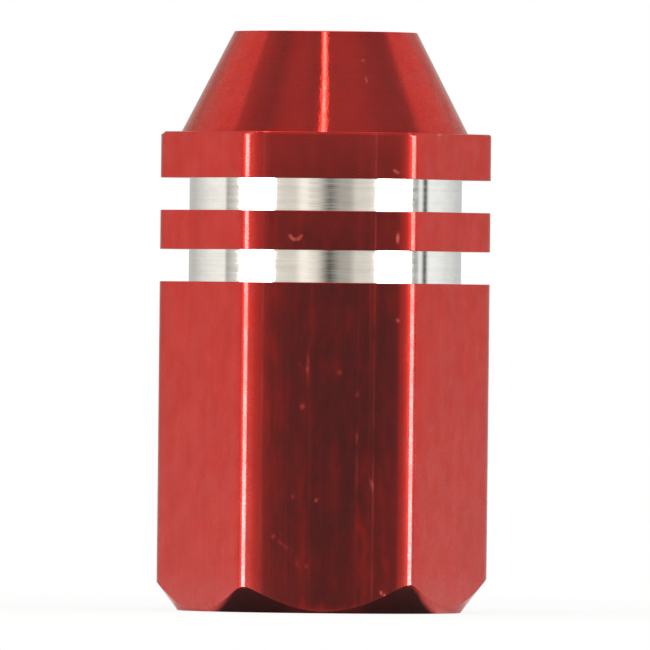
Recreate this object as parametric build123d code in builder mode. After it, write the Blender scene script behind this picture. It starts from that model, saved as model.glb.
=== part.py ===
"""Tyre valve cap: a hexagon aluminium cap with a conical nose, two turned grooves and a rubber seal washer.

Millimetres and degrees. +Z points up to the nose, the origin is in the middle of the open end, and two of
the flats face -Y and +Y.
"""

import os
from math import cos, radians, tan

from build123d import *

# Valve thread, taken at the root of its turns, and the relief behind it that holds the seal
bore_diameter = 7.9
thread_length = 8.15
mouth_countersink = 0.45
relief_depth = 0.2
tap_runout = 1.1

# Rubber seal washer
seal_thickness = 1.3
seal_hole_diameter = 3.2
seal_clearance = 0.05

# Hexagon bar
flat_wall = 0.85
bar_corner_radius = 0.75

# Lengths along the axis, from the open end up
body_length = 11.23
groove_width = 1.1
middle_collar_length = 1.34
top_collar_length = 1.58
nose_height = 3.45

# Turned forms
groove_depth = 0.35
nose_ledge = 0.085
nose_half_angle = 27.2
nose_edge_break = 0.04
collar_edge_break = 0.1
end_land = 0.45
end_chamfer_half_angle = 37.0

# Radii that follow from the sizes above
bore_radius = bore_diameter / 2
mouth_radius = bore_radius + mouth_countersink
relief_radius = bore_radius + relief_depth
flat_radius = relief_radius + flat_wall
sharp_corner_radius = flat_radius / cos(radians(30))
corner_radius = sharp_corner_radius - bar_corner_radius * (1 / cos(radians(30)) - 1)
blank_radius = corner_radius + flat_wall
groove_radius = flat_radius - groove_depth
nose_base_radius = flat_radius - nose_ledge
nose_tip_radius = nose_base_radius - nose_height * tan(radians(nose_half_angle))
end_radius = mouth_radius + end_land

# Heights that follow from the sizes above
relief_start = mouth_countersink + thread_length
seal_underside = relief_start + tap_runout
seal_seat = seal_underside + seal_thickness
lower_groove_top = body_length + groove_width
middle_collar_top = lower_groove_top + middle_collar_length
upper_groove_top = middle_collar_top + groove_width
top_collar_top = upper_groove_top + top_collar_length
cap_height = top_collar_top + nose_height
end_chamfer_height = (blank_radius - end_radius) / tan(radians(end_chamfer_half_angle))
break_reach = blank_radius - corner_radius + collar_edge_break

# Cap body: the bar, turned outside to the half section, then drilled and relieved
with BuildPart() as cap_body:
    with BuildSketch(Plane.XY) as bar_section:
        RegularPolygon(radius=flat_radius, side_count=6, major_radius=False)
        fillet(bar_section.vertices(), radius=bar_corner_radius)
    extrude(amount=cap_height)

    with BuildSketch(Plane.XZ) as turned_section:
        with BuildLine():
            Polyline(
                (0, 0),
                (end_radius, 0),
                (blank_radius, end_chamfer_height),
                (blank_radius, body_length),
                (groove_radius, body_length),
                (groove_radius, lower_groove_top),
                (blank_radius, lower_groove_top),
                (blank_radius, middle_collar_top),
                (groove_radius, middle_collar_top),
                (groove_radius, upper_groove_top),
                (blank_radius, upper_groove_top),
                (blank_radius, top_collar_top - break_reach),
                (corner_radius - collar_edge_break, top_collar_top),
                (nose_base_radius, top_collar_top),
                (nose_tip_radius, cap_height),
                (0, cap_height),
                close=True,
            )
        make_face()
        tip_edge = turned_section.vertices().group_by(Axis.Y)[-1].sort_by(Axis.X)[-1]
        chamfer(tip_edge, length=nose_edge_break)
    revolve(axis=Axis.Z, mode=Mode.INTERSECT)

    with BuildSketch(Plane.XZ) as bore_section:
        with BuildLine():
            Polyline(
                (0, 0),
                (mouth_radius, 0),
                (bore_radius, mouth_countersink),
                (bore_radius, relief_start),
                (relief_radius, relief_start),
                (relief_radius, seal_seat),
                (0, seal_seat),
                close=True,
            )
        make_face()
    revolve(axis=Axis.Z, mode=Mode.SUBTRACT)
cap_body.part.label = "cap_body"

# Seal washer: punched from rubber sheet, flat against the blind end of the bore
with BuildPart() as seal_washer:
    with BuildSketch(Plane.XY.offset(seal_underside)):
        Circle(relief_radius - seal_clearance)
        Circle(seal_hole_diameter / 2, mode=Mode.SUBTRACT)
    extrude(amount=seal_thickness)
seal_washer.part.label = "seal_washer"

os.makedirs("parts", exist_ok=True)
for piece in (cap_body.part, seal_washer.part):
    export_step(piece, f"parts/{piece.label}.step")
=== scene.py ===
from math import atan2, cos, hypot, pi, radians, sin, tan, tau

import bmesh
import bpy
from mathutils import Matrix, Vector


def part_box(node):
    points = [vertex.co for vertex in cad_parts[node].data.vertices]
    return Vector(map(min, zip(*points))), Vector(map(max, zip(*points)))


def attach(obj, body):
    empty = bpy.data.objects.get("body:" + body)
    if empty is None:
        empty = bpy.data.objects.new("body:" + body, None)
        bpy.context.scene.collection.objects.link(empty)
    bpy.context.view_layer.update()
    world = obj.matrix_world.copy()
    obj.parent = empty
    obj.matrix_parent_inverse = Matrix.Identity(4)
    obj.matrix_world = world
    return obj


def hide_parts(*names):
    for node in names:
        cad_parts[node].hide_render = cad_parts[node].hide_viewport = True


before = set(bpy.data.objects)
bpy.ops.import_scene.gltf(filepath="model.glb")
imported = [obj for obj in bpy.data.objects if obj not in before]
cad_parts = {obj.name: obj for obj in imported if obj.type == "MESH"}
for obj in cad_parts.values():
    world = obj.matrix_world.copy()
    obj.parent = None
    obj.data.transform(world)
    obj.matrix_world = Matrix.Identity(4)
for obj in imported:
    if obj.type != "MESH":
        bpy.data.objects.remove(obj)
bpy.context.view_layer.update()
bpy.ops.object.select_all(action="DESELECT")

# Hexagon cap
# One piece of drawn hexagon aluminium bar, turned outside, bored and threaded from the open end, and then
# anodised red all over. The two grooves were turned after that, so their floors and walls are bare metal.
mm = 0.001
cap_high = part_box("cap_body")[1]
seal_low, seal_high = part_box("seal_washer")
flat_radius = cap_high.y
cap_height = cap_high.z

# The bar: each flat is a little crowned and bends into its two corners, wider on one side than on the other.
# An arc of a bend is how far the outline has turned by its end, and its radius. Both bends drop equally far.
half_side = radians(30)
crown = (radians(0.7), 120 * mm)
shoulder = (radians(9), 1.5 * mm)
corner_core = (half_side, 0.48 * mm)
wide_bend = (
    crown,
    (radians(4.5), 6.5 * mm),
    shoulder,
    (radians(20), 0.75 * mm),
    corner_core,
)
tight_bend = (
    crown,
    (radians(4.5), 1.5 * mm),
    shoulder,
    (radians(20), 1.063 * mm),
    corner_core,
)

# Lengths along the axis, from the open end up
body_length = 11.23 * mm
groove_width = 1.1 * mm
middle_collar_length = 1.34 * mm
top_collar_length = 1.58 * mm
lower_groove_top = body_length + groove_width
middle_collar_top = lower_groove_top + middle_collar_length
upper_groove_top = middle_collar_top + groove_width
top_collar_top = upper_groove_top + top_collar_length
grooves = ((body_length, lower_groove_top), (middle_collar_top, upper_groove_top))

# Turned forms. The nose, the corners under it and the end chamfer sit a little off the bar's middle.
bar_middle = Vector((0, 0))
groove_depth = 0.35 * mm
nose_ledge = 0.105 * mm
nose_half_angle = radians(27.2)
nose_centre = Vector((-0.05 * mm, 0))
corner_cut_centre = Vector((0.04 * mm, 0))
end_radius = 4.835 * mm
end_chamfer_half_angle = radians(37)
end_chamfer_centre = Vector((-0.085 * mm, -0.12 * mm))
groove_radius = flat_radius - groove_depth
nose_base_radius = flat_radius - nose_ledge
nose_tip_radius = nose_base_radius - (cap_height - top_collar_top) * tan(nose_half_angle)

# Bore, from its mouth to the relief behind the thread
bore_radius = 3.95 * mm
mouth_countersink = 0.45 * mm
relief_depth = 0.2 * mm
relief_start = 8.6 * mm
mouth_radius = bore_radius + mouth_countersink
relief_radius = bore_radius + relief_depth

# Right-hand thread. In each turn its ridge rises from a flat root, at that slope, to a flat crest.
thread_pitch = 0.794 * mm
thread_depth = 0.45 * mm
thread_fade = 0.45 * mm
thread_rows_a_turn = 12
flank_slope = 2.6
root_flat = 0.15
wall_tolerance = 0.01 * mm

# Broken edges. A round one has a ring in its middle, which lies that share of its size in from both faces.
mid_round = 0.3
mouth_edge_break = 0.02 * mm
end_edge_break = 0.015 * mm
end_edge_rise = end_edge_break / 3
groove_edge_break = 0.014 * mm
ledge_edge_break = 0.06 * mm
ledge_mid_break = mid_round * ledge_edge_break
corner_break = 0.1 * mm
corner_mid_break = 0.8 * corner_break
nose_edge_break = 0.014 * mm
nose_mid_inset = 0.25 * nose_edge_break
nose_mid_drop = mid_round * nose_edge_break
smooth_below = radians(33)


def half_flat(arcs, flat_steps=2, arc_steps=5):
    """Half a flat's outline, from its middle to a corner: points along the flat and out from the axis."""
    bend = [(0.0, 0.0)]
    turned = 0.0
    for turn, radius in arcs:
        along, drop = bend[-1]
        for step in range(1, arc_steps + 1):
            angle = turned + (turn - turned) * step / arc_steps
            forward = radius * (sin(angle) - sin(turned))
            down = radius * (cos(turned) - cos(angle))
            bend.append((along + forward, drop + down))
        turned = turn
    bend_along, bend_drop = bend[-1]
    straight = (flat_radius - bend_drop) * tan(half_side) - bend_along
    points = [(straight * step / flat_steps, flat_radius) for step in range(flat_steps)]
    return points + [(straight + along, flat_radius - drop) for along, drop in bend]


def bar_section():
    """The bar's whole outline, anticlockwise from the corner on +X."""
    side = [(-along, out) for along, out in reversed(half_flat(wide_bend)[1:])]
    side += half_flat(tight_bend)[:-1]
    outline = []
    for number in range(6):
        facing = half_side + number * tau / 6
        for along, out in side:
            x = out * cos(facing) - along * sin(facing)
            y = out * sin(facing) + along * cos(facing)
            outline.append(Vector((x, y)))
    return outline


outline = bar_section()
corner_reach = max(point.length for point in outline)
bpy.ops.mesh.primitive_circle_add(
    vertices=len(outline), radius=relief_radius, fill_type="TRIFAN", location=(0, 0, 0)
)
cap = bpy.context.object
cap.name = cap.data.name = "hexagon_cap"
bpy.ops.object.mode_set(mode="EDIT")
bpy.ops.transform.translate(value=(0, 0, seal_high.z))


def set_loop(place, first_turn=0.001):
    """Moves the mesh's open edge loop: each vertex goes where its point of the bar's outline says.

    The vertices are matched in order of their angle. The first turn keeps the one on +X first in it.
    """
    bpy.ops.mesh.select_all(action="DESELECT")
    bpy.ops.mesh.select_non_manifold(extend=False)
    work = bmesh.from_edit_mesh(cap.data)
    loop = [vertex for vertex in work.verts if vertex.select]
    loop.sort(key=lambda vertex: (atan2(vertex.co.y, vertex.co.x) + first_turn) % tau)
    for vertex, point in zip(loop, outline):
        vertex.co = place(point)
    bmesh.update_edit_mesh(cap.data)


def circle(radius, height, centre=bar_middle):
    """A ring that the lathe cuts."""

    def place(point):
        across = centre + (point - centre).normalized() * radius
        return Vector((*across, height))

    return place


def hexagon(inset, height, cut_back=0.0):
    """A ring of the bar's own outline, drawn in by an edge break, with its corners turned back."""

    def place(point):
        share = 1 - inset / flat_radius
        if cut_back:
            share = min(share, (corner_reach - cut_back) / (point - corner_cut_centre).length)
        return Vector((*point * share, height))

    return place


def end_land(inset, height):
    """A ring at the rim of the open end, held inside the flats where the end chamfer misses them."""

    def place(point):
        out = point - end_chamfer_centre
        rim = min(end_radius, out.length - end_edge_break) - inset
        return Vector((*(end_chamfer_centre + out.normalized() * rim), height))

    return place


def end_chamfer_edge(point):
    """A ring along the edge between the end chamfer and the flats."""
    run = max((point - end_chamfer_centre).length - end_radius, end_edge_break)
    return Vector((*point, run / tan(end_chamfer_half_angle)))


def ring(place):
    """Extrudes the open edge loop to its next ring."""
    bpy.ops.mesh.extrude_edges_move()
    set_loop(place)


def groove_edge(height, up):
    """A collar's edge at a groove: up is 1 where the collar starts there and -1 where it ends.

    Each of its rings lies so many edge breaks inward, and along the axis into the collar.
    """
    breaks = [(1, 0), (mid_round, mid_round), (0, 1), (0, 2)]
    for inward, along in breaks if up > 0 else reversed(breaks):
        ring(hexagon(inward * groove_edge_break, height + up * along * groove_edge_break))


# The rings run from the blind end down the bore, round the open end, up the outside and over the nose
set_loop(circle(relief_radius, seal_high.z))
ring(circle(relief_radius, relief_start))
ring(circle(bore_radius, relief_start))
ring(circle(bore_radius, mouth_countersink))
ring(circle(mouth_radius - mouth_edge_break, mouth_edge_break))
ring(circle(mouth_radius + mouth_edge_break, 0))
ring(end_land(end_edge_break, 0))
ring(end_land(0, end_edge_rise))
ring(end_chamfer_edge)
for groove_bottom, groove_top in grooves:
    groove_edge(groove_bottom, -1)
    ring(circle(groove_radius, groove_bottom))
    ring(circle(groove_radius, groove_top))
    groove_edge(groove_top, 1)
ring(hexagon(0, top_collar_top - corner_break - ledge_edge_break))
ring(hexagon(0, top_collar_top - corner_break))
ring(hexagon(0, top_collar_top - ledge_edge_break, corner_break - ledge_edge_break))
ring(hexagon(ledge_mid_break, top_collar_top - ledge_mid_break, corner_mid_break))
ring(hexagon(ledge_edge_break, top_collar_top, corner_break))
ring(circle(nose_base_radius, top_collar_top, nose_centre))
for below in (2 * nose_edge_break, nose_edge_break):
    ring(circle(nose_tip_radius + below * tan(nose_half_angle), cap_height - below, nose_centre))
ring(circle(nose_tip_radius - nose_mid_inset, cap_height - nose_mid_drop, nose_centre))
for inward in (nose_edge_break, 2 * nose_edge_break, nose_tip_radius / 2):
    ring(circle(nose_tip_radius - inward, cap_height, nose_centre))
bpy.ops.mesh.extrude_edges_move()
bpy.ops.mesh.merge(type="CENTER")


def on_bore_wall(place):
    """Whether a place in the mesh is on the bore's plain wall."""
    return abs(hypot(place.x, place.y) - bore_radius) < wall_tolerance


# The bore's wall is divided into rows, and their vertices are drawn in along the thread
bpy.ops.mesh.select_all(action="DESELECT")
work = bmesh.from_edit_mesh(cap.data)
for edge in work.edges:
    first, second = (vertex.co for vertex in edge.verts)
    upright = abs(first.z - second.z) > mm
    edge.select = upright and on_bore_wall(first) and on_bore_wall(second)
bmesh.update_edit_mesh(cap.data)
thread_length = relief_start - mouth_countersink
bpy.ops.mesh.subdivide(number_cuts=round(thread_length / thread_pitch * thread_rows_a_turn))
work = bmesh.from_edit_mesh(cap.data)
for vertex in work.verts:
    ends_away = min(vertex.co.z - mouth_countersink, relief_start - vertex.co.z)
    if on_bore_wall(vertex.co) and ends_away > 0:
        turn = vertex.co.z / thread_pitch - atan2(vertex.co.y, vertex.co.x) / tau
        ridge = min(1, max(0, flank_slope * abs(turn % 1 - 0.5) - root_flat))
        drawn_in = thread_depth * ridge * min(1, ends_away / thread_fade)
        vertex.co.xy *= 1 - drawn_in / bore_radius
bmesh.update_edit_mesh(cap.data)
bpy.ops.mesh.select_all(action="SELECT")
bpy.ops.mesh.normals_make_consistent(inside=False)
bpy.ops.object.mode_set(mode="OBJECT")
bpy.ops.object.shade_smooth_by_angle(angle=smooth_below)


class Wire:
    """An output of a finish's nodes. Arithmetic on it adds Math nodes to that finish."""

    def __init__(self, finish, socket):
        self.finish = finish
        self.socket = socket

    def maths(self, operation, *terms):
        """The output of a Math node that takes those terms."""
        return self.finish.node("ShaderNodeMath", {"operation": operation}, dict(enumerate(terms)))

    def __add__(self, other):
        return self.maths("ADD", self, other)

    def __sub__(self, other):
        return self.maths("SUBTRACT", self, other)

    def __rsub__(self, other):
        return self.maths("SUBTRACT", other, self)

    def __mul__(self, other):
        return self.maths("MULTIPLY", self, other)

    def __abs__(self):
        return self.maths("ABSOLUTE", self)

    def smaller(self, other):
        return self.maths("MINIMUM", self, other)

    def larger(self, other):
        return self.maths("MAXIMUM", self, other)

    __radd__ = __add__
    __rmul__ = __mul__


class Finish:
    """A material whose nodes all come from one method."""

    def __init__(self, name):
        self.material = bpy.data.materials.new(name)
        self.material.use_nodes = True
        self.tree = self.material.node_tree
        self.tree.nodes.clear()

    def node(self, kind, settings=(), sockets=(), output=0):
        """Adds a node, sets its settings, fills its sockets with values or wires, and returns one output."""
        made = self.tree.nodes.new(kind)
        for name, value in dict(settings).items():
            if name == "stops":
                self.set_stops(made.color_ramp, value)
            else:
                setattr(made, name, value)
        for name, value in dict(sockets).items():
            if isinstance(value, Wire):
                self.tree.links.new(value.socket, made.inputs[name])
            else:
                made.inputs[name].default_value = value
        return Wire(self, made.outputs[output]) if made.outputs else None

    def set_stops(self, ramp, stops):
        """Gives a colour ramp grey stops, each a place from 0 to 1 and a level."""
        while len(ramp.elements) < len(stops):
            ramp.elements.new(1.0)
        for element, (place, level) in zip(ramp.elements, stops):
            element.position = place
            element.color = (level, level, level, 1)

    def place(self):
        """Object coordinates in millimetres."""
        metres = self.node("ShaderNodeTexCoord", output="Object")
        return self.node("ShaderNodeMapping", sockets={"Vector": metres, "Scale": (1 / mm, 1 / mm, 1 / mm)})

    def along(self, place, axis):
        """One of a place's three parts."""
        return self.node("ShaderNodeSeparateXYZ", sockets={0: place}, output=axis)

    def flat(self, x, y):
        """A place in the XY plane."""
        return self.node("ShaderNodeCombineXYZ", sockets={"X": x, "Y": y})

    def length(self, place):
        """How far a place is from the origin."""
        return self.node("ShaderNodeVectorMath", {"operation": "LENGTH"}, {0: place}, "Value")

    def noise(self, place, cells, detail):
        """Noise from 0 to 1, with its own count of cells to the millimetre along each axis."""
        stretched = self.node("ShaderNodeMapping", sockets={"Vector": place, "Scale": cells})
        sockets = {"Vector": stretched, "Scale": 1.0, "Detail": detail}
        return self.node("ShaderNodeTexNoise", sockets=sockets)

    def step(self, value, low, high):
        """0 below low and 1 above high, with a smooth rise between them."""
        sockets = {"Value": value, "From Min": low, "From Max": high}
        return self.node("ShaderNodeMapRange", {"interpolation_type": "SMOOTHSTEP"}, sockets)

    def patches(self, place, cells, detail, low, high):
        """Patches where such noise is above high, with soft edges down to low."""
        return self.step(self.noise(place, cells, detail), low, high)

    def mark(self, place, centre, reach, lean=0.0, core=0.1):
        """An oval spot of that reach along each axis, leaning in XZ: 1 in its core, and 0 outside it."""
        sockets = {"Vector": place, "Location": centre, "Rotation": (0, radians(lean), 0), "Scale": reach}
        within = self.node("ShaderNodeMapping", {"vector_type": "TEXTURE"}, sockets)
        return 1 - self.step(self.length(within), core, 1.0)

    def mix(self, share, first, second):
        """The first colour where the share is 0, and the second where it is 1."""
        return self.node("ShaderNodeMix", {"data_type": "RGBA"}, {0: share, 6: first, 7: second}, 2)

    def bump(self, height, depth):
        """Normals of a relief whose height from 0 to 1 is that deep."""
        return self.node("ShaderNodeBump", sockets={"Height": height, "Distance": depth, "Strength": 1.0})

    def end(self, shader):
        """Ends the finish with its shader."""
        self.node("ShaderNodeOutputMaterial", sockets={"Surface": shader})
        return self.material

    def surface(self, sockets):
        """Ends the finish with one shader for the whole surface."""
        return self.end(self.node("ShaderNodeBsdfPrincipled", sockets=sockets))


# All places and spans of the red finish are in millimetres. A span is where a change starts and ends.
front = -flat_radius / mm
nose_foot = top_collar_top / mm
nose_span = (nose_foot - 0.05, nose_foot + 0.05)
front_span = (front + 0.03, front + 0.1)
corner_span = (5.46, 5.58)
edge_span = (5.59, 5.63)

# Nicks and scratches: the middle of each one, half its length and width, its lean to the right in degrees,
# and how strong it is
scuffs = (
    ((-0.72, front, 8.34), 0.93, 0.09, 0, 0.35),
    ((-0.72, front, 8.36), 0.30, 0.11, 0, 0.6),
    ((1.50, front, 4.38), 0.42, 0.10, -13, 0.7),
    ((0.98, front, 5.95), 0.30, 0.10, 0, 0.4),
    ((0.98, front, 4.90), 0.90, 0.09, 0, 0.3),
    ((1.91, front, 0.68), 0.22, 0.11, -45, 1.6),
    ((2.29, front, 12.76), 0.30, 0.10, 0, 1.3),
    ((2.21, front, 15.02), 0.20, 0.10, -58, 1.2),
    ((-0.89, front, 7.01), 0.16, 0.15, 0, 0.5),
    ((0.36, front, 8.19), 0.14, 0.15, 0, 0.5),
    ((1.00, front, 7.46), 0.16, 0.13, 0, 0.4),
    ((-1.02, front, 8.45), 0.10, 0.10, 0, 0.5),
    ((-0.39, front, 3.84), 0.12, 0.12, 0, 1.2),
    ((-1.19, front, 3.96), 0.12, 0.12, 0, 0.5),
    ((-1.83, front, 2.60), 0.14, 0.11, 20, 0.6),
    ((-1.46, front, 2.29), 0.45, 0.09, -53, 0.4),
    ((-1.03, front, 1.73), 0.28, 0.09, -13, 0.4),
    ((-0.70, front, 1.60), 0.13, 0.12, 0, 0.4),
    ((2.32, front, 9.97), 0.12, 0.12, 0, 1.2),
    ((1.11, -3.44, 18.77), 0.13, 0.09, 0, 1.5),
    ((1.21, -3.75, 18.15), 0.18, 0.08, -10, 1.1),
    ((3.72, -3.45, 16.31), 0.10, 0.12, 0, 1.0),
)
mark_reach_in = 0.5

# A nick that curves round under its middle, on the middle collar
nick_x = -1.18
nick_z = 12.87
nick_radius = 0.19
nick_span = (0.02, 0.1)
nick_end_span = (nick_z - 0.08, nick_z + 0.04)

# Lines that the drawing die left on the front flat: where each one is, and how strong
die_lines = ((1.53, 0.9), (1.40, 0.35), (0.98, 0.3), (-0.62, 0.3), (-2.27, 0.5))
die_line_span = (0.01, 0.07)

# Duller bands on it: the middle of each one, half its length and width
dull_bands = (
    ((1.22, front, 2.2), 5.6, 0.5),
    ((-1.95, front, 6.5), 8.0, 0.55),
    ((1.95, front, 3.0), 6.0, 0.45),
    ((-0.85, front, 3.5), 6.0, 0.4),
)

# The dye's shade, made up of clouds, tool lines and grain
cloud_shade = 0.5
line_shade = 0.3
grain_shade = 0.2
shade_span = (0.3, 0.7)

# Dye, from its deepest to where a mark has thinned it, and the tint of what it mirrors at a glancing angle
deep_red = (0.48, 0.009, 0.004, 1)
clear_red = (0.56, 0.014, 0.007, 1)
worn_red = (0.78, 0.22, 0.21, 1)
glancing_tint = (1, 0.62, 0.56, 1)
score_wear = 0.14
scuff_wear = 0.37
worn_metal_loss = 0.4

# Roughness where the finish is clean, and what each change on it adds
clean_roughness = 0.09
shade_roughness = 0.03
blotch_roughness = 0.035
speck_roughness = 0.025
nose_roughness = -0.035
corner_roughness = 0.14
score_roughness = 0.07
scuff_roughness = 0.16
dull_roughness = 0.065

# Relief of the tool's lines and of the grain, which is stronger on the nose and the corners
relief_height = 0.002 * mm
line_relief = 0.7
grain_relief = 0.3
nose_grain_relief = 0.8
corner_grain_relief = 0.3

# The clear film's weight, and how it varies: thicker in clouds, low down, by the open end and along the
# corners, thinner on the nose, and speckled by the grain
film_weight = 0.22
cloud_film = 0.14
low_film = 0.22
low_film_span = (0, 11)
end_film = 0.25
end_film_span = (0.2, 1.6)
nose_film_loss = 0.1
edge_film_gain = 1.6
film_speckle = 0.5
nose_film_speckle = 0.7
film_roughness = 0.07
film_index = 1.5
veil_weight = 0.0235


def wear_marks(finish, place, on_front):
    """Where the die scored the front flat, where use scuffed the cap, and where its front is duller."""
    x = finish.along(place, "X")
    z = finish.along(place, "Z")
    scored = sum(
        strength * (1 - finish.step(abs(x - line_x), *die_line_span)) for line_x, strength in die_lines
    )
    scored = scored * on_front * finish.patches(place, cells=(3, 3, 0.5), detail=3.0, low=0.25, high=0.65)

    scuffed = sum(
        strength * finish.mark(place, centre, (half_width, mark_reach_in, half_length), lean)
        for centre, half_length, half_width, lean, strength in scuffs
    )
    from_nick = abs(finish.length(finish.flat(x - nick_x, z - nick_z)) - nick_radius)
    nick = (1 - finish.step(from_nick, *nick_span)) * (1 - finish.step(z, *nick_end_span))
    scuffed = scuffed + nick * on_front
    scuffed = scuffed * finish.patches(place, cells=(5, 5, 3), detail=3.0, low=0.2, high=0.6)

    dulled = sum(
        finish.mark(place, centre, (half_width, mark_reach_in, half_length))
        for centre, half_length, half_width in dull_bands
    )
    dulled = dulled * finish.patches(place, cells=(3, 3, 0.8), detail=4.0, low=0.3, high=0.6)
    return scored, scuffed, dulled


def anodised_red():
    """Dyed and sealed oxide on drawn and turned aluminium: a clear hard film over tinted metal."""
    finish = Finish("anodised red")
    place = finish.place()
    z = finish.along(place, "Z")
    from_axis = finish.length(finish.flat(finish.along(place, "X"), finish.along(place, "Y")))
    on_nose = finish.step(z, *nose_span)
    on_front = 1 - finish.step(finish.along(place, "Y"), *front_span)
    on_corner = finish.step(from_axis, *corner_span)
    on_edge = finish.step(from_axis, *edge_span)

    drawn_lines = finish.noise(place, cells=(7, 7, 0.1), detail=4.0)
    turned_lines = finish.noise(place, cells=(0.4, 0.4, 22), detail=2.0)
    lines = drawn_lines * (1 - on_nose) + turned_lines * on_nose
    grain = finish.noise(place, cells=(14, 14, 14), detail=2.0)
    clouding = finish.noise(place, cells=(1.1, 1.1, 0.7), detail=3.0)
    shade = finish.step(cloud_shade * clouding + line_shade * lines + grain_shade * grain, *shade_span)
    blotches = finish.patches(place, cells=(2.4, 2.4, 0.9), detail=5.0, low=0.42, high=0.68)
    specks = finish.patches(place, cells=(4.5, 4.5, 2.5), detail=2.0, low=0.6, high=0.74)
    scored, scuffed, dulled = wear_marks(finish, place, on_front)

    worn = (score_wear * scored + scuff_wear * scuffed).smaller(1.0)
    colour = finish.mix(worn, finish.mix(shade, deep_red, clear_red), worn_red)
    grain_share = grain_relief + nose_grain_relief * on_nose + corner_grain_relief * on_corner
    relief = line_relief * lines + grain_share * grain

    roughness = clean_roughness + shade_roughness * shade + speck_roughness * specks
    roughness = roughness + blotch_roughness * blotches * (1 - on_nose)
    roughness = roughness + nose_roughness * on_nose + corner_roughness * on_corner
    roughness = roughness + score_roughness * scored + scuff_roughness * scuffed + dull_roughness * dulled

    clouds = finish.patches(place, cells=(1.7, 1.7, 1.3), detail=5.0, low=0.35, high=0.65)
    speckle = finish.step(grain, low=0.35, high=0.65) - 0.5
    film = film_weight + cloud_film * clouds
    film = film + low_film * (1 - finish.step(z, *low_film_span))
    film = film + end_film * (1 - finish.step(z, *end_film_span))
    film = film * (1 - nose_film_loss * on_nose) * (1 + edge_film_gain * on_edge)
    film = film * (1 + (film_speckle + nose_film_speckle * on_nose) * speckle)
    return finish.surface(
        {
            "Base Color": colour,
            "Metallic": 1 - worn_metal_loss * worn,
            "Roughness": roughness,
            "Specular Tint": glancing_tint,
            "Coat Weight": film,
            "Coat Roughness": film_roughness,
            "Coat IOR": film_index,
            "Sheen Weight": veil_weight,
            "Sheen Roughness": 1.0,
            "Normal": finish.bump(relief, relief_height),
        }
    )


# Bare metal in the grooves
dull_silver = (0.76, 0.74, 0.70, 1)
bright_silver = (0.84, 0.83, 0.80, 1)
bare_roughness = 0.09
smear_roughness = 0.04
feed_line_height = 0.0018 * mm


def bare_turned():
    """Bright aluminium as the grooving tool left it, with its feed lines running round."""
    finish = Finish("bare turned aluminium")
    place = finish.place()
    feed_lines = finish.noise(place, cells=(0.1, 0.1, 10), detail=3.0)
    smears = finish.noise(place, cells=(1.5, 1.5, 5), detail=3.0)
    shade = finish.step((smears + feed_lines) * 0.5, *shade_span)
    return finish.surface(
        {
            "Base Color": finish.mix(shade, dull_silver, bright_silver),
            "Metallic": 1.0,
            "Roughness": bare_roughness + smear_roughness * shade,
            "Normal": finish.bump(feed_lines, feed_line_height),
        }
    )


groove_tolerance = 0.001 * mm
bore_clearance = 0.1 * mm
cap.data.materials.append(anodised_red())
cap.data.materials.append(bare_turned())
for face in cap.data.polygons:
    outside = hypot(face.center.x, face.center.y) > relief_radius + bore_clearance
    for groove_bottom, groove_top in grooves:
        if outside and groove_bottom - groove_tolerance < face.center.z < groove_top + groove_tolerance:
            face.material_index = 1
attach(cap, "root")
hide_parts("cap_body")

# Seal washer
# Punched from black rubber sheet and pushed past the thread, flat against the blind end of the bore. The rim
# of the valve stem has pressed a shallow ring into it.
seal_radius = seal_high.x
seal_hole_radius = 1.6 * mm
seal_edge = 0.12 * mm
seal_mid_edge = mid_round * seal_edge
rim_radius = 2.75 * mm
rim_width = 0.5 * mm
rim_depth = 0.06 * mm
seal_smooth_below = radians(50)
weld_distance = 0.002 * mm
bpy.ops.object.select_all(action="DESELECT")
bpy.ops.mesh.primitive_circle_add(vertices=96, radius=seal_hole_radius, location=(0, 0, seal_low.z))
seal = bpy.context.object
seal.name = seal.data.name = "rubber_seal"
bpy.ops.object.transform_apply(location=True)
bpy.ops.object.mode_set(mode="EDIT")

# The loop of the hole's lower edge is extruded round the washer's section, from one radius and height to the
# next and back to itself
last_radius = seal_hole_radius
last_height = seal_low.z
for radius, height in (
    (seal_hole_radius + seal_mid_edge, seal_low.z),
    (rim_radius - rim_width, seal_low.z),
    (rim_radius - rim_width / 2, seal_low.z + rim_depth),
    (rim_radius + rim_width / 2, seal_low.z + rim_depth),
    (rim_radius + rim_width, seal_low.z),
    (seal_radius - seal_edge, seal_low.z),
    (seal_radius - seal_mid_edge, seal_low.z + seal_mid_edge),
    (seal_radius, seal_low.z + seal_edge),
    (seal_radius, seal_high.z),
    (seal_hole_radius, seal_high.z),
    (seal_hole_radius, seal_low.z),
):
    bpy.ops.mesh.extrude_edges_move(TRANSFORM_OT_translate={"value": (0, 0, height - last_height)})
    share = radius / last_radius
    bpy.ops.transform.resize(value=(share, share, 1), center_override=(0, 0, height))
    last_radius = radius
    last_height = height
bpy.ops.mesh.select_all(action="SELECT")
bpy.ops.mesh.remove_doubles(threshold=weld_distance)
bpy.ops.mesh.normals_make_consistent(inside=False)
bpy.ops.object.mode_set(mode="OBJECT")
bpy.ops.object.shade_smooth_by_angle(angle=seal_smooth_below)

rubber_black = (0.018, 0.018, 0.019, 1)
dusty_black = (0.045, 0.043, 0.040, 1)
rubber_roughness = 0.6
rubber_grain_roughness = 0.2
rubber_grain_height = 0.01 * mm


def seal_rubber():
    """Matt black rubber sheet with a fine calendered grain and a little dust."""
    finish = Finish("seal rubber")
    place = finish.place()
    grain = finish.noise(place, cells=(12, 12, 12), detail=3.0)
    dust = finish.patches(place, cells=(1.2, 1.2, 1.2), detail=4.0, low=0.45, high=0.75)
    return finish.surface(
        {
            "Base Color": finish.mix(dust, rubber_black, dusty_black),
            "Roughness": rubber_roughness + rubber_grain_roughness * grain,
            "Normal": finish.bump(grain, rubber_grain_height),
        }
    )


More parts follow.
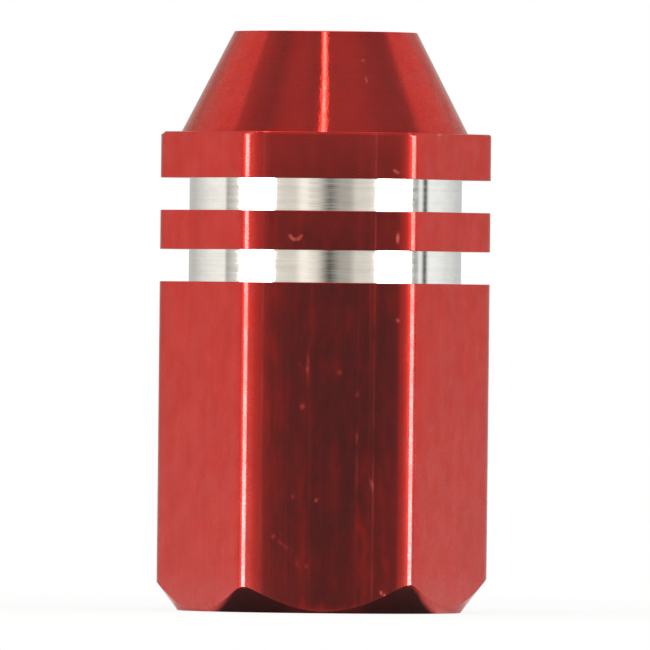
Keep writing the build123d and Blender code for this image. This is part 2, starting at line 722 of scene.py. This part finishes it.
seal.data.materials.append(seal_rubber())
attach(seal, "root")
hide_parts("seal_washer")

# Camera
# A long lens, level with the cap and a little to its left, with the slight roll that the picture has.
# The picture's height and the cap's place off its middle are in pixels.
picture_height = 650
picture_span = 22.212 * mm
view_azimuth = radians(-2)
view_roll = radians(0.62)
cap_right_of_middle = -0.7
cap_above_middle = 3.2
lens_length = 1200
sensor_width = 36
bpy.ops.object.camera_add()
camera = bpy.context.object
camera.data.sensor_width = sensor_width
camera.data.lens = lens_length
camera.data.clip_start = 0.01
camera.data.clip_end = 10
away = Vector((sin(view_azimuth), -cos(view_azimuth), 0))
turned = (-away).to_track_quat("-Z", "Y")
pixel = picture_span / picture_height
aim = Vector((0, 0, cap_height / 2))
aim -= turned @ Vector((1, 0, 0)) * cap_right_of_middle * pixel
aim -= turned @ Vector((0, 1, 0)) * cap_above_middle * pixel
camera.location = aim + away * picture_span * lens_length / sensor_width
camera.rotation_euler = turned.to_euler()
camera.rotation_euler.rotate_axis("Z", view_roll)
bpy.context.scene.camera = camera

# Floor
# A plain pale table top that fades into the white round it and keeps the cap's soft shadow. The cap mirrors a
# painted shadow of it close by, with a painted glow along two sides. It is open under the bore, to let light
# in.
floor_radius = 0.6
pale_grey = (0.72, 0.72, 0.72, 1)
# Greys of the painted shadow under the cap, which only reflections see: the first in its middle, the second
# to its sides
painted_shadow_grey = (0.11, 0.11, 0.11, 1)
painted_shadow_dark = (0.05, 0.05, 0.05, 1)

# Spans in millimetres: the first three to the left and right of the middle, and the others outwards from it
painted_shadow_dark_span = (0.9, 1.7)
painted_shadow_side_span = (3.55, 3.95)
painted_glow_end_span = (3.9, 4.6)
opening_span = (4.7, 4.8)
painted_shadow_end_span = (5.6, 7.5)
clear_span = (7, 12)
white_span = (15, 60)
near_white = 0.85
# Brightness of the painted glow beside the painted shadow, which only reflections see
painted_glow = 0.62
bpy.ops.object.select_all(action="DESELECT")
bpy.ops.mesh.primitive_circle_add(vertices=128, radius=floor_radius, fill_type="NGON")
floor = bpy.context.object
floor.name = "floor"


def pale_floor_and_painted_shadow():
    """Pale paint, whitened to the camera and clear from below.

    Close by, what the cap mirrors of it is a painted shadow with a painted glow along two sides. Further out
    it is also clear to what the cap mirrors, so that the lower half of the tent shows there.
    """
    finish = Finish("pale floor and painted shadow")
    place = finish.place()
    outwards = finish.length(place)
    sideways = abs(finish.along(place, "X"))
    seen = finish.node("ShaderNodeLightPath", output="Is Camera Ray")
    mirrored = finish.node("ShaderNodeLightPath", output="Is Glossy Ray")
    below = finish.node("ShaderNodeNewGeometry", output="Backfacing")

    # Painted shadow under the cap, which reflections see and the camera never does; the camera sees only the
    # pale paint
    beside_painted_shadow = finish.step(sideways, *painted_shadow_side_span)
    off_painted_shadow = beside_painted_shadow.larger(finish.step(outwards, *painted_shadow_end_span)).larger(seen)
    painted_shadow = finish.mix(finish.step(sideways, *painted_shadow_dark_span), painted_shadow_grey, painted_shadow_dark)
    colour = finish.mix(off_painted_shadow, painted_shadow, pale_grey)
    sockets = {"Base Color": colour, "Roughness": 1.0, "Specular IOR Level": 0.0}
    paint = finish.node("ShaderNodeBsdfPrincipled", sockets=sockets)

    white = finish.node("ShaderNodeEmission", sockets={"Color": (1, 1, 1, 1), "Strength": 1.0})
    seen_white = near_white + (1 - near_white) * finish.step(outwards, *white_span)
    # Painted glow: white that only reflections see, in strips beside the painted shadow
    painted_side_glow = beside_painted_shadow * painted_glow * (1 - finish.step(sideways, *painted_glow_end_span))
    whitening_and_painted_glow = seen * seen_white + mirrored * painted_side_glow
    shader = finish.node("ShaderNodeMixShader", sockets={0: whitening_and_painted_glow, 1: paint, 2: white})

    clear = finish.node("ShaderNodeBsdfTransparent")
    clearing = below.larger(mirrored * finish.step(outwards, *clear_span))
    clearing = clearing.larger(1 - finish.step(outwards, *opening_span))
    return finish.end(finish.node("ShaderNodeMixShader", sockets={0: clearing, 1: shader, 2: clear}))


floor.data.materials.append(pale_floor_and_painted_shadow())

# Studio
# A small white tent stands round the cap, bright behind it and dimmer on the camera's side, with a dark gap
# for the lens. Two soft boxes stand on the table to the left and right of the camera, and a narrow strip
# hangs over it.
tent_radius = 0.16

# How bright the cloth is round the lower part of the tent, by degrees to the right of the camera
tent_levels = (
    (-180, 0.55),
    (-145, 0.60),
    (-112, 1.00),
    (-94, 1.08),
    (-91.5, 0.42),
    (-87, 0.60),
    (-80, 0.76),
    (-40, 0.80),
    (-25, 0.80),
    (-19.5, 1.16),
    (-15, 1.16),
    (-8, 0.96),
    (-4.5, 0.70),
    (-1.5, 0.40),
    (1.5, 0.20),
    (4.5, 0.02),
    (7.5, 0.20),
    (13, 0.46),
    (20, 0.50),
    (25, 0.80),
    (38, 0.80),
    (80, 0.36),
    (84, 0.36),
    (86, 1.10),
    (89, 1.10),
    (91, 0.03),
    (94.5, 0.03),
    (96, 1.08),
    (112, 1.00),
    (145, 0.68),
    (180, 0.55),
)

# The same round its upper part
tent_high_levels = (
    (-180, 0.93),
    (-94, 0.93),
    (-90, 0.58),
    (-85, 0.52),
    (-74, 0.43),
    (-62, 0.36),
    (-52, 0.44),
    (-42, 0.54),
    (-26, 0.53),
    (-16, 0.44),
    (-7, 0.46),
    (8, 0.54),
    (40, 0.55),
    (56, 0.44),
    (75, 0.39),
    (85, 0.39),
    (92, 0.46),
    (95, 0.54),
    (99, 0.93),
    (180, 0.93),
)

# The upper part and the roof start at these shares of the tent's radius
upper_span = (0.4, 0.6)
roof_span = (0.88, 0.97)
roof_level = 2.2

# The gap for the lens reaches so far to both sides. Cloth closes it above, and a little light fills it below,
# at these heights in millimetres.
gap_span = (radians(12), radians(16))
gap_top_span = (14.3, 19.3)
gap_top_level = 0.58
gap_foot_span = (-8, 6)
gap_foot_level = 0.08

# Tints of the cloth, and where the warm front turns into those of the two sides
front_cloth = (1, 0.94, 0.86, 1)
left_cloth = (1, 0.985, 0.95, 1)
right_cloth = (0.985, 1, 1, 1)
left_span = (radians(-110), radians(-50))
right_span = (radians(40), radians(80))
bpy.ops.object.select_all(action="DESELECT")
bpy.ops.mesh.primitive_uv_sphere_add(segments=144, ring_count=72, radius=tent_radius)
tent = bpy.context.object
tent.name = "tent"


def tent_cloth():
    """Cloth that glows by its place round the cap and by its height."""
    finish = Finish("tent cloth")
    place = finish.place()
    x = finish.along(place, "X")
    z = finish.along(place, "Z")
    turn = x.maths("ARCTAN2", x, finish.along(place, "Y") * -1) - view_azimuth

    def round_about(levels, brightest=2):
        """The levels all the way round. A ramp's stops hold them as shares of the brightest."""
        stops = [(azimuth / 360 + 0.5, level / brightest) for azimuth, level in levels]
        return brightest * finish.node("ShaderNodeValToRGB", {"stops": stops}, {0: turn * (1 / tau) + 0.5})

    low = round_about(tent_levels)
    high = round_about(tent_high_levels)
    in_gap = 1 - finish.step(abs(turn), *gap_span)
    low = low + in_gap * finish.step(z, *gap_top_span) * (gap_top_level - low)
    low = low + in_gap * (1 - finish.step(z, *gap_foot_span)) * gap_foot_level
    height = z * (mm / tent_radius)
    level = low + finish.step(height, *upper_span) * (high - low)
    level = level + finish.step(height, *roof_span) * (roof_level - level)

    colour = finish.mix(finish.step(turn, *left_span), left_cloth, front_cloth)
    colour = finish.mix(finish.step(turn, *right_span), colour, right_cloth)
    lit = finish.node("ShaderNodeVectorMath", {"operation": "SCALE"}, {0: colour, "Scale": level})
    return finish.end(finish.node("ShaderNodeEmission", sockets={"Color": lit, "Strength": 1.0}))


tent.data.materials.append(tent_cloth())
tent.visible_camera = False

# Lamps: degrees right of the camera and up, distance from the cap's middle, width, height and brightness
lamps = (
    ("left_soft_box", -59.6, 7.6, 0.11, 0.0615, 0.052, 10.5),
    ("right_soft_box", 60.2, 7.6, 0.11, 0.0635, 0.052, 10.5),
    ("overhead_strip", -1.5, 54.4, 0.14, 0.0062, 0.06, 15),
)
for name, azimuth, elevation, distance, width, height, brightness in lamps:
    turn = view_azimuth + radians(azimuth)
    level_reach = cos(radians(elevation))
    outward = Vector((sin(turn) * level_reach, -cos(turn) * level_reach, sin(radians(elevation))))
    bpy.ops.object.light_add(type="AREA")
    lamp = bpy.context.object
    lamp.name = name
    lamp.location = Vector((0, 0, cap_height / 2)) + outward * distance
    lamp.rotation_euler = outward.to_track_quat("Z", "Y").to_euler()
    lamp.data.shape = "RECTANGLE"
    lamp.data.size = width
    lamp.data.size_y = height
    lamp.data.energy = brightness * pi * width * height
    lamp.visible_camera = False

world = bpy.data.worlds.new("white surround")
bpy.context.scene.world = world
world.use_nodes = True
surround = world.node_tree.nodes["Background"]
surround.inputs["Color"].default_value = (1, 1, 1, 1)
surround.inputs["Strength"].default_value = 1.0
bpy.context.scene.view_settings.view_transform = "Standard"
